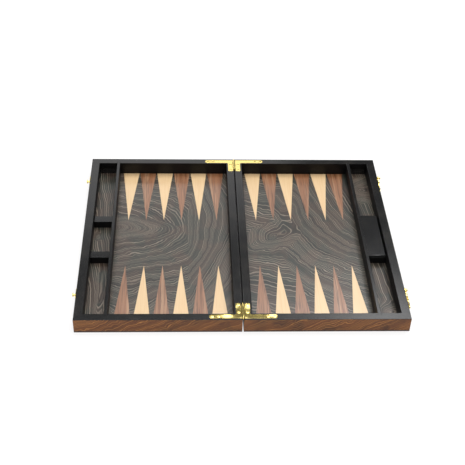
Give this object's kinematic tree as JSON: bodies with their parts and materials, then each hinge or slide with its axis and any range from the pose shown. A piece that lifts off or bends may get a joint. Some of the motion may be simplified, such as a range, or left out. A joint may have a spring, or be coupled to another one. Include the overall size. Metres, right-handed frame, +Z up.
{
  "type": "folding backgammon case",
  "caption": "Folding wooden backgammon case, open flat: two hinged trays with inlaid points, side racks, a loose compartment lid and brass swing hooks.",
  "frame": {"origin": "centre of the open case's underside, on the table, at the middle of the seam", "axes": "+X to the right across both trays, +Y to the back along the seam, +Z up"},
  "size_m": [0.615, 0.48, 0.0337],
  "materials": {
    "black_lacquer": "satin black lacquer on solid wood",
    "walnut_veneer": "satin lacquered figured walnut veneer",
    "walnut_inlay": "satin lacquered straight-grained walnut veneer",
    "maple_inlay": "satin lacquered pale maple veneer",
    "burl_veneer": "satin lacquered dark grey-brown burl veneer",
    "stained_ply": "dark stained ply edge",
    "brass": "polished brass"
  },
  "bodies": {
    "left_tray": {"left_front_wall": "black_lacquer", "left_back_wall": "black_lacquer", "left_outer_wall": "black_lacquer", "left_hinge_wall": "black_lacquer", "left_base_panel": "stained_ply", "left_base_veneer": "walnut_veneer", "left_front_veneer": "walnut_veneer", "left_back_veneer": "walnut_veneer", "left_outer_veneer": "walnut_veneer", "left_field_veneer": "burl_veneer", "left_rack_veneer": "burl_veneer", "left_light_points": "maple_inlay", "left_walnut_points": "walnut_inlay", "left_long_divider": "black_lacquer", "left_front_cross_divider": "black_lacquer", "left_back_cross_divider": "black_lacquer", "front_hinge_left_leaf": "brass", "front_hinge_pin": "brass", "back_hinge_left_leaf": "brass", "back_hinge_pin": "brass", "left_hinge_screws": "brass", "front_catch_plate": "brass", "back_catch_plate": "brass", "front_catch_stud": "brass", "back_catch_stud": "brass", "catch_plate_screws": "brass"},
    "right_tray": {"right_front_wall": "black_lacquer", "right_back_wall": "black_lacquer", "right_outer_wall": "black_lacquer", "right_hinge_wall": "black_lacquer", "right_base_panel": "stained_ply", "right_base_veneer": "walnut_veneer", "right_front_veneer": "walnut_veneer", "right_back_veneer": "walnut_veneer", "right_outer_veneer": "walnut_veneer", "right_field_veneer": "burl_veneer", "right_rack_veneer": "burl_veneer", "right_light_points": "maple_inlay", "right_walnut_points": "walnut_inlay", "right_long_divider": "black_lacquer", "right_front_cross_divider": "black_lacquer", "right_back_cross_divider": "black_lacquer", "front_hinge_right_leaf": "brass", "back_hinge_right_leaf": "brass", "right_hinge_screws": "brass", "front_hook_plate": "brass", "back_hook_plate": "brass", "front_hook_rivet": "brass", "back_hook_rivet": "brass", "hook_plate_screws": "brass"},
    "front_hook": {"front_hook": "brass"},
    "back_hook": {"back_hook": "brass"},
    "compartment_lid": {"compartment_lid": "black_lacquer"}
  },
  "joints": [
    {"name": "fold", "type": "hinge", "parent": "left_tray", "child": "right_tray", "pos_m": [0, 0, 0.03125], "axis": [0, -1, 0], "range_deg": [0, 180]},
    {"name": "front_hook_swing", "type": "hinge", "parent": "right_tray", "child": "front_hook", "pos_m": [0.3024, -0.169, 0.024], "axis": [-1, 0, 0], "range_deg": [-22, 90]},
    {"name": "back_hook_swing", "type": "hinge", "parent": "right_tray", "child": "back_hook", "pos_m": [0.3024, 0.169, 0.024], "axis": [-1, 0, 0], "range_deg": [0, 112]},
    {"name": "lid_lift", "type": "slide", "parent": "right_tray", "child": "compartment_lid", "axis": [0, 0, -1], "range_m": [-0.016, 0]}
  ]
}
